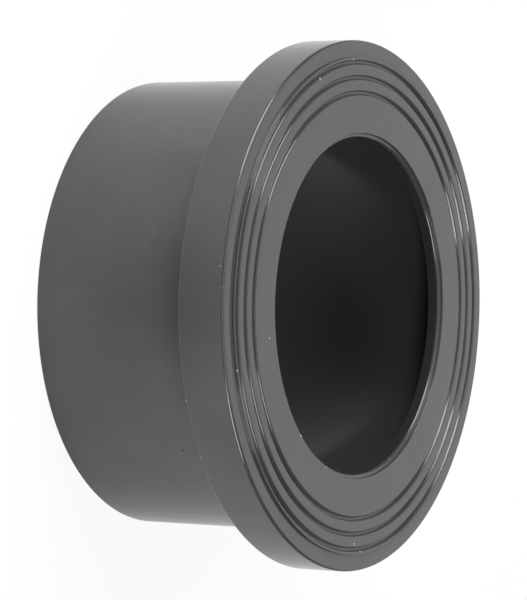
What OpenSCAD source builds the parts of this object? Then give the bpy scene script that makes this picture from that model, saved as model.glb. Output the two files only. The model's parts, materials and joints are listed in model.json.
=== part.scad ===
// Lap joint stub end in moulded plastic: a pipe socket with a collar and a grooved sealing face.
// It stands on the hub's end, with its axis along +Z and the sealing face on top.

/* [Pipe socket] */
// Outside diameter of the pipe that is cemented into the socket
pipe_d = 75; // [50:1:110]
// Gap left for cement all round the pipe
pipe_gap = 0.1; // [0.05:0.05:0.3]
// Depth of the socket, from the end of the hub to the stop lip
socket_depth = 44.7; // [30:0.1:70]
// Wall of the hub around the socket
socket_wall = 7.9; // [5:0.1:12]
// Lead-in chamfer at the mouth of the socket
lead_in = 1.5; // [0.5:0.1:2.5]
// Round-off on the outer edge of the end of the hub
hub_edge = 0.4; // [0.2:0.1:2]
// Fillet in the corner between the socket and the stop lip
socket_fillet = 0.8; // [0.2:0.1:1.5]

/* [Stop lip] */
// Height of the lip, measured inward from the outside of the pipe
lip_height = 3.8; // [2.5:0.1:6]
// Thickness of the lip, from the end of the pipe to the sealing face
lip_thickness = 3; // [2:0.1:6]
// Width of the step around the mouth of the bore, measured at the sealing face
step_w = 0.9; // [0.7:0.05:1.6]
// Width of the ledge on the step, at the foot of the step's sloping wall
ledge_w = 0.45; // [0.2:0.05:0.65]
// Depth of the ledge's outer edge below the sealing face
step_depth = 0.5; // [0.3:0.1:1.2]
// Fall of the ledge toward the bore
ledge_fall = 0.07; // [0.03:0.01:0.2]

/* [Collar] */
// Height of the collar above the hub
collar_height = 7.6; // [6:0.1:12]
// Thickness of the collar, from its back seat to the sealing face
collar_thickness = 10.4; // [7:0.1:16]
// Round-off on the two outer edges of the collar
rim_edge = 0.6; // [0.2:0.1:1]
// Fillet between the hub and the back seat of the collar
shoulder_fillet = 2.5; // [1:0.1:4]

/* [Sealing face] */
// Height of the raised face above the land around it
face_rise = 0.5; // [0.2:0.1:0.8]
// Width of the land between the raised face and the rim
rim_land = 3.4; // [2:0.1:4]
// Width of the narrow land outside the outermost groove, with the rounded edge counted in
edge_land = 0.55; // [0.4:0.05:1.5]
// Number of concentric grooves
groove_count = 3; // [1:1:4]
// Radial distance from one groove to the next
groove_pitch = 3.05; // [2:0.05:3.5]
// Width of a groove at the face, measured without the round-off on its edges
groove_w = 1; // [0.8:0.1:1.6]
// Width of the flat floor of a groove
groove_floor_w = 0.5; // [0.2:0.1:0.7]
// Depth of a groove below the face
groove_depth = 0.65; // [0.4:0.05:1.2]
// Radius of the round-off on both edges of a groove
groove_edge = 0.35; // [0.15:0.05:0.5]

/* [Hidden] */
$fn = 180;

// Reach of a cutter past the face that it cuts
reach = 1;

// Radii, from the bore outward
socket_r = pipe_d / 2 + pipe_gap;
bore_r = pipe_d / 2 - lip_height;
step_r = bore_r + step_w;
hub_r = socket_r + socket_wall;
rim_r = hub_r + collar_height;
raised_r = rim_r - rim_land;
outer_groove_r = raised_r - edge_land - groove_w / 2;

// Heights, from the end of the hub upward
face_z = socket_depth + lip_thickness;
land_z = face_z - face_rise;
seat_z = face_z - collar_thickness;

// Square corner at the origin, cut back to an arc that touches both its sides:
// it fills an inner corner as a fillet, and taken away from an outer corner it rounds it off.
module corner(radius) {
    difference() {
        translate([-reach, -reach]) square(radius + reach);
        translate([radius, radius]) circle(radius);
    }
}

// Half section of the outside: hub, collar, raised face and the fillet under the collar
module outside_section() {
    difference() {
        union() {
            square([hub_r, land_z]);
            translate([0, seat_z]) square([rim_r, land_z - seat_z]);
            translate([0, seat_z]) square([raised_r, collar_thickness]);
            translate([hub_r, seat_z]) mirror([0, 1]) corner(shoulder_fillet);
        }
        translate([hub_r, 0]) mirror([1, 0]) corner(hub_edge);
        translate([rim_r, seat_z]) mirror([1, 0]) corner(rim_edge);
        translate([rim_r, land_z]) rotate(180) corner(rim_edge);
    }
}

// Half section of the passage: lead-in, socket with its filleted floor, bore and the step at its mouth
module passage_section() {
    mouth_r = socket_r + lead_in + reach;
    ledge_z = face_z - step_depth;
    wall_slope = (step_w - ledge_w) / step_depth;
    polygon([[0, -reach], [mouth_r, -reach], [socket_r, lead_in], [0, lead_in]]);
    difference() {
        square([socket_r, socket_depth]);
        translate([socket_r, socket_depth]) rotate(180) corner(socket_fillet);
    }
    square([bore_r, face_z + reach]);
    polygon([
        [0, ledge_z - ledge_fall],
        [bore_r, ledge_z - ledge_fall],
        [bore_r + ledge_w, ledge_z],
        [step_r + wall_slope * reach, face_z + reach],
        [0, face_z + reach]
    ]);
}

// Section of one groove, centred on the axis of the drawing: sloping walls down to a flat floor,
// and a mouth whose edges are rounded by arcs that touch both the face and the walls
module groove_section() {
    wall_angle = atan2(groove_depth, (groove_w - groove_floor_w) / 2);
    arc_w = groove_edge * tan(wall_angle / 2);
    arc_depth = arc_w * sin(wall_angle);
    mouth_w = groove_w + 2 * arc_w;
    polygon([
        [-groove_floor_w / 2, face_z - groove_depth],
        [groove_floor_w / 2, face_z - groove_depth],
        [groove_w / 2, face_z],
        [-groove_w / 2, face_z]
    ]);
    difference() {
        translate([-mouth_w / 2, face_z - arc_depth]) square([mouth_w, arc_depth + reach]);
        for (side = [-1, 1])
            translate([side * mouth_w / 2, face_z - groove_edge]) circle(groove_edge);
    }
}

module stub_end() {
    color("#4a4b4c")
        rotate_extrude()
            difference() {
                outside_section();
                passage_section();
                for (i = [0 : groove_count - 1])
                    translate([outer_groove_r - i * groove_pitch, 0]) groove_section();
            }
}

stub_end();
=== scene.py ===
import json
from math import cos, pi, radians, sin

import bmesh
import bpy
from mathutils import Matrix, Vector


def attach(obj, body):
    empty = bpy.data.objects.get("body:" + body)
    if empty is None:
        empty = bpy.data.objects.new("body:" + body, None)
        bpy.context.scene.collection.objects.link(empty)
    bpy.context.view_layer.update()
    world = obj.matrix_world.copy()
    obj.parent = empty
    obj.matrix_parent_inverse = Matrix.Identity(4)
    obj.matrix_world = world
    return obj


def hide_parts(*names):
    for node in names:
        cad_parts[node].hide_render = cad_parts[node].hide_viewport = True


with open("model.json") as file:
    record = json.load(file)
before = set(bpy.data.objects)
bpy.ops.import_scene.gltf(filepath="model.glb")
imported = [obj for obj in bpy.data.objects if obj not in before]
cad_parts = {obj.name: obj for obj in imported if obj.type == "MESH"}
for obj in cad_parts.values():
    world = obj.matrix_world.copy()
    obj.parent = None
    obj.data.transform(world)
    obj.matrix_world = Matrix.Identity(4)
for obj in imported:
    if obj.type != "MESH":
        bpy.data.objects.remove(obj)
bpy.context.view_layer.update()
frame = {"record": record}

# The stub end.
# One injection moulding in rigid PVC: a hub with a pipe socket in it, a collar that holds a loose
# backing ring, and a grooved sealing face. It stands on the end of its hub, with its axis along +Z.

MM = 0.001
mounts = {mount["name"]: mount for mount in frame["record"]["mounts"]}
hub_r = mounts["hub_outside"]["dims"]["r_mm"]
socket_r = mounts["pipe_socket"]["dims"]["r_mm"]
seat_z = mounts["backing_ring_seat"]["pos_m"][2] / MM
face_z = mounts["sealing_face"]["pos_m"][2] / MM

lead_in = 1.5
lip_thickness = 3.0
bore_r = 33.7
step_r = 34.55
step_depth = 0.5
ledge_r = 34.41
ledge_fall = 0.07
collar_height = 7.6
rim_land = 3.4
face_rise = 0.5
edge_land = 0.55
groove_count = 3
groove_pitch = 3.05
groove_w = 1.0
groove_floor_w = 0.5
groove_depth = 0.65

rim_r = hub_r + collar_height
raised_r = rim_r - rim_land
outer_groove_r = raised_r - edge_land - groove_w / 2
lip_z = face_z - lip_thickness
land_z = face_z - face_rise
ledge_z = face_z - step_depth
mouth_z = ledge_z - ledge_fall
groove_z = face_z - groove_depth

# How far a rounded edge reaches along both of its sides
hub_edge = 0.4
rim_edge = 0.6
shoulder_fillet = 2.5
socket_fillet = 0.8
groove_edge = 0.24
step_edge = 0.12
ledge_corner = 0.05
bore_edge = 0.5
mould_edge = 0.12

# Half section, from the socket's mouth up the hub, out round the collar, in over the face and down
# through the bore. Each corner is a radius, a height and its rounding.
corners = [
    (socket_r + lead_in, 0, mould_edge),
    (hub_r, 0, hub_edge),
    (hub_r, seat_z, shoulder_fillet),
    (rim_r, seat_z, rim_edge),
    (rim_r, land_z, rim_edge),
    (raised_r, land_z, mould_edge),
    (raised_r, face_z, mould_edge),
]
for groove in range(groove_count):
    middle = outer_groove_r - groove * groove_pitch
    corners += [
        (middle + groove_w / 2, face_z, groove_edge),
        (middle + groove_floor_w / 2, groove_z, mould_edge),
        (middle - groove_floor_w / 2, groove_z, mould_edge),
        (middle - groove_w / 2, face_z, groove_edge),
    ]
corners += [
    (step_r, face_z, step_edge),
    (ledge_r, ledge_z, ledge_corner),
    (bore_r, mouth_z, bore_edge),
    (bore_r, lip_z, mould_edge),
    (socket_r, lip_z, socket_fillet),
    (socket_r, lead_in, mould_edge),
]

# The section's corners are rounded one by one, and it is spun round the axis into a closed skin.
# Weighted normals keep the lands flat beside their rounded edges.
TURN_STEPS = 288
EDGE_SEGMENTS = 4
MERGE_DISTANCE = 0.001
skin = bmesh.new()
points = [skin.verts.new((r * MM, 0, z * MM)) for r, z, _ in corners]
for here, there in zip(points, points[1:] + points[:1]):
    skin.edges.new((here, there))
for point, (_, _, edge) in zip(points, corners):
    bmesh.ops.bevel(skin, geom=[point], offset=edge * MM, offset_type="OFFSET",
                    segments=EDGE_SEGMENTS, profile=0.5, affect="VERTICES", material=-1)
bmesh.ops.spin(skin, geom=skin.verts[:] + skin.edges[:], cent=(0, 0, 0), axis=(0, 0, 1),
               angle=2 * pi, steps=TURN_STEPS, use_merge=True)
bmesh.ops.remove_doubles(skin, verts=skin.verts, dist=MERGE_DISTANCE * MM)
bmesh.ops.recalc_face_normals(skin, faces=skin.faces)
for face in skin.faces:
    face.smooth = True
stub_mesh = bpy.data.meshes.new("stub_end_skin")
skin.to_mesh(stub_mesh)
skin.free()
stub_end = bpy.data.objects.new("stub_end_skin", stub_mesh)
bpy.context.scene.collection.objects.link(stub_end)
flat_lands = stub_end.modifiers.new("flat_lands", "WEIGHTED_NORMAL")
flat_lands.mode = "FACE_AREA"


def linear(code):
    """Linear colour of an sRGB hex code."""
    parts = [int(code[k:k + 2], 16) / 255 for k in (1, 3, 5)]
    return [p / 12.92 if p <= 0.04045 else ((p + 0.055) / 1.055) ** 2.4 for p in parts] + [1]


def add(tree, kind, inputs=None, **settings):
    """Adds one shader node. Settings are its own properties, and inputs are values or the outputs
    that feed it."""
    node = tree.nodes.new("ShaderNode" + kind)
    for name, value in settings.items():
        setattr(node, name, value)
    for name, value in (inputs or {}).items():
        if isinstance(value, bpy.types.NodeSocket):
            tree.links.new(value, node.inputs[name])
        else:
            node.inputs[name].default_value = value
    return node


def spots(tree, place, places, core):
    """Mask of round spots. Each place is a radius, a height and an angle on the part, and the
    spot's own radius. Core is the share of that radius over which a spot stays full."""
    mask = None
    for r, z, angle, size in places:
        spot_at = Vector((r * cos(radians(angle)), r * sin(radians(angle)), z)) * MM
        away = add(tree, "VectorMath", {0: place, 1: spot_at}, operation="DISTANCE")
        spot = add(tree, "MapRange",
                   {"Value": away.outputs["Value"], "From Min": core * size * MM,
                    "From Max": size * MM, "To Min": 1.0, "To Max": 0.0},
                   interpolation_type="SMOOTHSTEP").outputs[0]
        mask = spot if mask is None else add(tree, "Math", {0: mask, 1: spot},
                                             operation="MAXIMUM").outputs[0]
    return mask


# Where wear has left its marks
nick_inset = 0.2
rim_back_z = seat_z + nick_inset
rim_front_z = land_z - nick_inset
rim_side_z = 46.3
groove_outer_r = outer_groove_r + groove_w / 2
groove_inner_r = outer_groove_r - groove_w / 2 - nick_inset
groove_land_r = 47.55
plain_face_r = 37.0
nicks = [
    (step_r, face_z, 300.7, 0.22),
    (step_r, face_z, 316.2, 0.42),
    (step_r, face_z, 336.2, 0.25),
    (bore_r, mouth_z, 23.5, 0.3),
    (rim_r, rim_back_z, 289.7, 0.28),
    (rim_r, rim_back_z, 303.0, 0.28),
    (rim_r, rim_front_z, 266.2, 0.2),
    (rim_r, rim_side_z, 261.8, 0.14),
    (raised_r, face_z, 284.0, 0.25),
    (raised_r, face_z, 2.0, 0.25),
    (groove_outer_r, face_z, 0.5, 0.25),
    (groove_outer_r, face_z, 186.0, 0.3),
    (groove_inner_r, face_z - nick_inset, 202.6, 0.35),
    (groove_land_r, face_z, 357.3, 0.25),
    (plain_face_r, face_z, 279.5, 0.2),
]
specks = [
    (hub_r, 28.1, 308.4, 0.5),
]
smudges = [
    (hub_r, 31.0, 218.5, 4.0),
    (hub_r, 29.6, 225.6, 3.0),
    (hub_r, 27.0, 227.0, 3.0),
    (hub_r, 25.5, 251.5, 2.6),
    (hub_r, 24.3, 255.7, 1.8),
    (hub_r, 23.7, 246.1, 2.4),
    (hub_r, 9.8, 252.0, 1.4),
]

# Rigid PVC from a polished mould: dark grey, with a satin skin that turns bright at a glance. It
# has gone cloudy, with dusty smudges and a dark speck on the hub and pale nicks on the edges. The
# socket and the bore are painted a shade darker, as painted shade for the depth of tone in them.
cloud_size = 14
dust_size = 2.2
grain_size = 0.5
swell_size = 5
grain_height = 0.01
swell_height = 0.005
cloud_low, cloud_high = 0.3, 0.7
clear_roughness, cloudy_roughness = 0.13, 0.18
pvc = bpy.data.materials.new("moulded_rigid_pvc")
pvc.use_nodes = True
tree = pvc.node_tree
tree.nodes.clear()
place = add(tree, "TexCoord").outputs["Object"]
cloud = add(tree, "TexNoise", {"Vector": place, "Scale": 1 / (cloud_size * MM), "Detail": 4,
                               "Roughness": 0.6}).outputs["Fac"]
dust = add(tree, "TexNoise", {"Vector": place, "Scale": 1 / (dust_size * MM), "Detail": 3,
                              "Roughness": 0.65}).outputs["Fac"]
grain = add(tree, "TexNoise", {"Vector": place, "Scale": 1 / (grain_size * MM), "Detail": 2})
swell = add(tree, "TexNoise", {"Vector": place, "Scale": 1 / (swell_size * MM), "Detail": 2})

tint = add(tree, "ValToRGB", {"Fac": cloud})
tint.color_ramp.elements[0].position = cloud_low
tint.color_ramp.elements[0].color = linear("#3f3d3c")
tint.color_ramp.elements[1].position = cloud_high
tint.color_ramp.elements[1].color = linear("#464443")
# Painted shade: inside the socket and the bore the plastic is coloured a shade darker than outside.
level_place = add(tree, "VectorMath", {0: place, 1: (1, 1, 0)}, operation="MULTIPLY")
from_axis = add(tree, "VectorMath", {0: level_place.outputs["Vector"]}, operation="LENGTH")
narrow = add(tree, "Math", {0: from_axis.outputs["Value"], 1: (socket_r + lead_in) * MM},
             operation="LESS_THAN")
height = add(tree, "SeparateXYZ", {"Vector": place}).outputs["Z"]
low = add(tree, "Math", {0: height, 1: (mouth_z - bore_edge) * MM}, operation="LESS_THAN")
inside = add(tree, "Math", {0: narrow.outputs[0], 1: low.outputs[0]}, operation="MULTIPLY")
bore_shaded = add(tree, "MixRGB", {"Fac": inside.outputs[0], "Color1": tint.outputs["Color"],
                              "Color2": linear("#302f2e")})
dusty = add(tree, "Math", {0: spots(tree, place, smudges, 0.0), 1: dust}, operation="MULTIPLY")
smudged = add(tree, "MixRGB", {"Fac": dusty.outputs[0], "Color1": bore_shaded.outputs["Color"],
                               "Color2": linear("#4b4947")})
specked = add(tree, "MixRGB", {"Fac": spots(tree, place, specks, 0.2),
                               "Color1": smudged.outputs["Color"], "Color2": linear("#161615")})
nicked = add(tree, "MixRGB", {"Fac": spots(tree, place, nicks, 0.4),
                              "Color1": specked.outputs["Color"], "Color2": linear("#c9c6c0")})

satin = add(tree, "MapRange", {"Value": cloud, "From Min": cloud_low, "From Max": cloud_high,
                               "To Min": clear_roughness, "To Max": cloudy_roughness})
waves = add(tree, "Bump", {"Height": swell.outputs["Fac"], "Strength": 0.5,
                           "Distance": swell_height * MM})
relief = add(tree, "Bump", {"Height": grain.outputs["Fac"], "Strength": 0.05,
                            "Distance": grain_height * MM, "Normal": waves.outputs["Normal"]})
surface = add(tree, "BsdfPrincipled", {"Base Color": nicked.outputs["Color"],
                                       "Roughness": satin.outputs["Result"], "IOR": 1.54,
                                       "Normal": relief.outputs["Normal"]})
add(tree, "OutputMaterial", {"Surface": surface.outputs["BSDF"]})
stub_mesh.materials.append(pvc)

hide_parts("stub_end")
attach(stub_end, "root")

# The floor.
# A studio floor in plain matt white paint, under the end of the hub. It shows its full white to the
# eye and keeps a soft shadow, and in the part's reflections it carries painted shade.

FLOOR_HALF = 20.0
sheet = bmesh.new()
bmesh.ops.create_grid(sheet, x_segments=1, y_segments=1, size=FLOOR_HALF)
floor_mesh = bpy.data.meshes.new("studio_floor")
sheet.to_mesh(floor_mesh)
sheet.free()
floor = bpy.data.objects.new("studio_floor", floor_mesh)
bpy.context.scene.collection.objects.link(floor)

# Mirrored in the part, the floor carries painted shade where little light gets: a darker spot in
# front of it, and inside the ring of the hub a shade that is darkest on the near side. A share is
# how much of the paint's look is its own white, and the rest of it is lit by the lamps.
spot_middle = (0, -0.105, 0)
spot_reach = 0.08
spot_white, open_white = 0.25, 1.0
spot_share, open_share = 0.85, 0.35
ring_r = (socket_r + hub_r) / 2
ring_near_y, ring_far_y = -0.005, 0.03
ring_near_white, ring_far_white = 0.03, 0.35
ring_share = 0.85
seen_share = 0.9
paint = bpy.data.materials.new("white_floor_paint")
paint.use_nodes = True
tree = paint.node_tree
tree.nodes.clear()
place = add(tree, "TexCoord").outputs["Object"]
from_axis = add(tree, "VectorMath", {0: place}, operation="LENGTH")
outside = add(tree, "Math", {0: from_axis.outputs["Value"], 1: ring_r * MM},
              operation="GREATER_THAN").outputs[0]
from_spot = add(tree, "VectorMath", {0: place, 1: spot_middle},
                operation="DISTANCE").outputs["Value"]
# Painted shade: in reflections the floor is darker round a spot in front of the part.
front_painted_shade = add(tree, "MapRange", {"Value": from_spot, "From Min": 0.0, "From Max": spot_reach,
                                     "To Min": spot_white, "To Max": open_white},
                  interpolation_type="SMOOTHSTEP")
front_share = add(tree, "MapRange", {"Value": from_spot, "From Min": 0.0, "From Max": spot_reach,
                                     "To Min": spot_share, "To Max": open_share},
                  interpolation_type="SMOOTHSTEP")
depth = add(tree, "SeparateXYZ", {"Vector": place}).outputs["Y"]
# Painted shade: in reflections the floor inside the ring of the hub is dark, darkest on the near
# side.
ring_painted_shade = add(tree, "MapRange", {"Value": depth, "From Min": ring_near_y, "From Max": ring_far_y,
                                    "To Min": ring_near_white, "To Max": ring_far_white})
mirror_white = add(tree, "Mix", {0: outside, 2: ring_painted_shade.outputs[0], 3: front_painted_shade.outputs[0]})
mirror_share = add(tree, "Mix", {0: outside, 2: ring_share, 3: front_share.outputs[0]})
ray = add(tree, "LightPath").outputs
mirrored = add(tree, "Math", {0: ray["Is Glossy Ray"], 1: ray["Is Transmission Ray"]},
               operation="MAXIMUM")
shared_mirror = add(tree, "Math", {0: mirrored.outputs[0], 1: mirror_share.outputs[0]},
                    operation="MULTIPLY")
seen = add(tree, "Math", {0: ray["Is Camera Ray"], 1: outside}, operation="MULTIPLY")
shared_view = add(tree, "Math", {0: seen.outputs[0], 1: seen_share}, operation="MULTIPLY")
share = add(tree, "Math", {0: shared_view.outputs[0], 1: shared_mirror.outputs[0]},
            operation="MAXIMUM")
strength = add(tree, "Math", {0: ray["Is Camera Ray"], 1: mirror_white.outputs[0]},
               operation="MAXIMUM")
matt = add(tree, "BsdfDiffuse", {"Color": linear("#f4f4f4")})
white = add(tree, "Emission", {"Color": linear("#ffffff"), "Strength": strength.outputs[0]})
mixed = add(tree, "MixShader", {0: share.outputs[0], 1: matt.outputs["BSDF"],
                                2: white.outputs["Emission"]})
add(tree, "OutputMaterial", {"Surface": mixed.outputs["Shader"]})
floor_mesh.materials.append(paint)

# The studio light.
# Soft boxes stand at the part's two sides, overhead and high behind it, and a broad white panel
# hangs low behind it. The room is dark and only looks white, and the camera's side is dim, so that
# edges and grooves show their form.


def soft_box(name, bearing, height, distance, size, power):
    """Adds a lamp at a bearing and a height in degrees, at a distance in metres, turned to the
    middle of the part."""
    lamp = bpy.data.lights.new(name, "AREA")
    lamp.shape = "RECTANGLE"
    lamp.size, lamp.size_y = size
    lamp.energy = power
    box = bpy.data.objects.new(name, lamp)
    bpy.context.scene.collection.objects.link(box)
    run = distance * cos(radians(height))
    box.location = (run * cos(radians(bearing)), run * sin(radians(bearing)),
                    distance * sin(radians(height)))
    middle = Vector((0, 0, face_z * MM / 2))
    box.rotation_euler = (box.location - middle).to_track_quat("Z", "Y").to_euler()
    box.visible_camera = False


soft_box("left_low", 195, 30, 1.0, (0.66, 0.4), 10.0)
soft_box("left_high", 191, 55, 1.0, (0.5, 0.4), 1.3)
soft_box("right_low", 322, 34, 1.0, (0.48, 0.4), 6.7)
soft_box("back_low", 90, 25, 1.78, (2.4, 0.9), 6.9)
soft_box("back_left", 134, 58, 1.0, (0.25, 0.6), 1.2)
soft_box("overhead", 270, 85, 1.0, (0.7, 0.5), 1.8)

room_level = 0.01
world = bpy.data.worlds.new("studio_room")
bpy.context.scene.world = world
world.use_nodes = True
tree = world.node_tree
tree.nodes.clear()
ray = add(tree, "LightPath").outputs
level = add(tree, "Math", {0: ray["Is Camera Ray"], 1: room_level}, operation="MAXIMUM")
room = add(tree, "Background", {"Color": linear("#ffffff"), "Strength": level.outputs[0]})
add(tree, "OutputWorld", {"Surface": room.outputs["Background"]})

# The camera.
# It looks down on the face from the side, turned a quarter round, so that the axis lies level
# across the picture, which is 527 by 600 pixels. The middle of the face falls at face_pixel.

PICTURE = (527, 600)
SENSOR = 36.0
face_pixel = (362.9, 306.0)
axis_to_view = radians(59.29)
axis_dip = radians(1.08)
focal_pixels = 3159
face_depth = 0.6318

axis = Vector((sin(axis_to_view) * cos(axis_dip), sin(axis_to_view) * sin(axis_dip),
               -cos(axis_to_view)))
down = Vector((0, 1, 0))
across = (down - down.dot(axis) * axis).normalized()
away = axis.cross(across)
to_world = Matrix((across, away, axis))
offset = Vector((face_pixel[0] - PICTURE[0] / 2, face_pixel[1] - PICTURE[1] / 2,
                 focal_pixels)) / focal_pixels
camera_data = bpy.data.cameras.new("camera")
camera_data.sensor_width = SENSOR
camera_data.lens = SENSOR * focal_pixels / max(PICTURE)
camera = bpy.data.objects.new("camera", camera_data)
bpy.context.scene.collection.objects.link(camera)
turned = to_world @ Matrix.Diagonal((1, -1, -1))
eye = Vector((0, 0, face_z * MM)) - to_world @ (offset * face_depth)
camera.matrix_world = Matrix.Translation(eye) @ turned.to_4x4()
bpy.context.scene.camera = camera
bpy.context.scene.view_settings.view_transform = "Standard"
